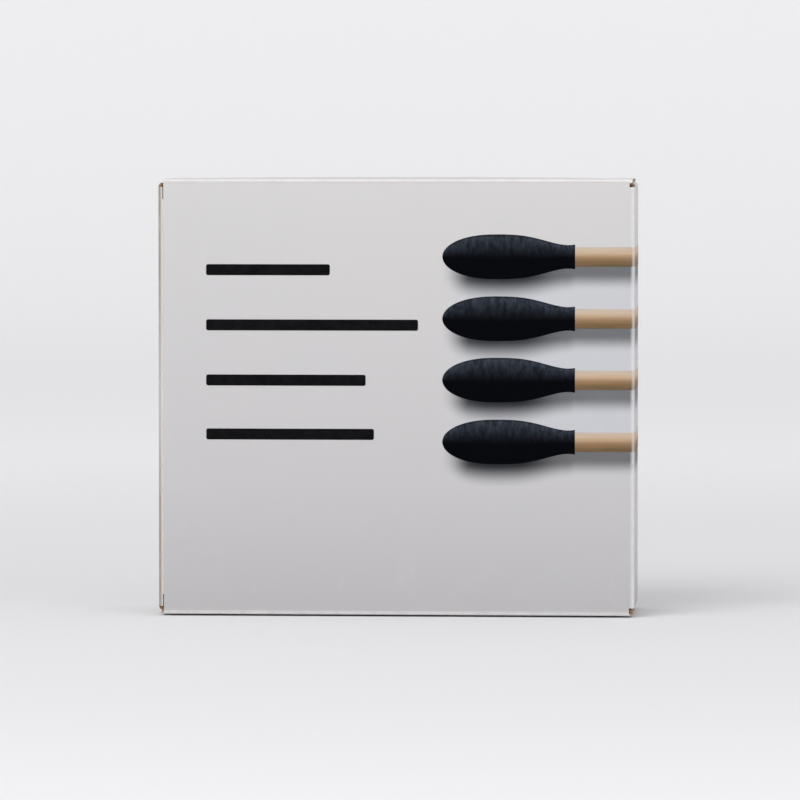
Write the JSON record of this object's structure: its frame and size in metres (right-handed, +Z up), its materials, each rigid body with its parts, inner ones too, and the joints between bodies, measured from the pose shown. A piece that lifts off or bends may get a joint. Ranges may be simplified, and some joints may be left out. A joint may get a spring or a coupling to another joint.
{
  "type": "cotton swab box",
  "caption": "Upright folding carton with a tuck lid and a tuck bottom, filled with double-ended cotton swabs on bamboo sticks.",
  "frame": {"origin": "Under the middle of the closed box, on the surface it stands on.", "axes": "+Z up, +X to the right along the wide front panel, which faces -Y; +Y towards the back panel, on which the lid is hinged."},
  "size_m": [0.0864, 0.024, 0.079],
  "materials": {
    "white_board": "smooth matt coated folding board, printed outside, pale brown at its cut edges",
    "bamboo": "plain sanded bamboo with fine lengthwise grain",
    "black_cotton": "tightly wound matt black cotton"
  },
  "bodies": {
    "carton": {"carton_body": "white_board", "sticks_row_1": "bamboo", "sticks_row_2": "bamboo", "sticks_row_3": "bamboo", "sticks_row_4": "bamboo", "sticks_row_5": "bamboo", "top_tips_row_1": "black_cotton", "bottom_tips_row_1": "black_cotton", "top_tips_row_2": "black_cotton", "bottom_tips_row_2": "black_cotton", "top_tips_row_3": "black_cotton", "bottom_tips_row_3": "black_cotton", "top_tips_row_4": "black_cotton", "bottom_tips_row_4": "black_cotton", "top_tips_row_5": "black_cotton", "bottom_tips_row_5": "black_cotton"},
    "lid": {"lid_flap": "white_board"},
    "bottom": {"bottom_flap": "white_board"}
  },
  "joints": [
    {"name": "lid_hinge", "type": "hinge", "parent": "carton", "child": "lid", "pos_m": [0, 0.012, 0.079], "axis": [-1, 0, 0], "range_deg": [0, 180]},
    {"name": "bottom_hinge", "type": "hinge", "parent": "carton", "child": "bottom", "pos_m": [0, -0.012, 0], "axis": [-1, 0, 0], "range_deg": [0, 180]}
  ]
}
